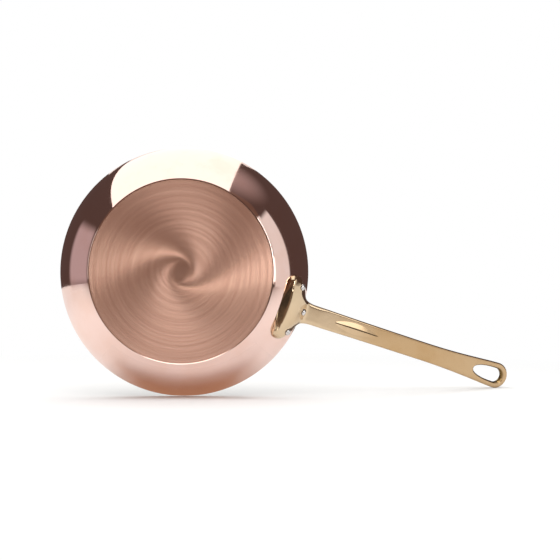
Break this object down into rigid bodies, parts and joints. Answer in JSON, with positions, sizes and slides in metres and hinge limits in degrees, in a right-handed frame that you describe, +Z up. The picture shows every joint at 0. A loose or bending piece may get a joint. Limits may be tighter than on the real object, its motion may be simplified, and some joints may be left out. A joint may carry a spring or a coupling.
{
  "type": "frying pan",
  "caption": "Round flared copper frying pan with a bonded steel lining and a long riveted brass handle that ends in a hanging eye.",
  "frame": {"origin": "Centre of the flat underside, on the surface that the pan rests on.", "axes": "+Z up through the open mouth, +X from the pan's centre along the handle, +Y to the left when looking along the handle from the pan."},
  "size_m": [0.5448, 0.28, 0.1543],
  "materials": {
    "copper": "polished wall, circular brushed base",
    "lining_steel": "circular brushed",
    "brass": "polished casting",
    "rivet_steel": "polished"
  },
  "bodies": {
    "root": {"copper_shell": "copper", "steel_lining": "lining_steel", "handle": "brass", "rivet_left": "rivet_steel", "rivet_centre": "rivet_steel", "rivet_right": "rivet_steel"}
  },
  "joints": []
}
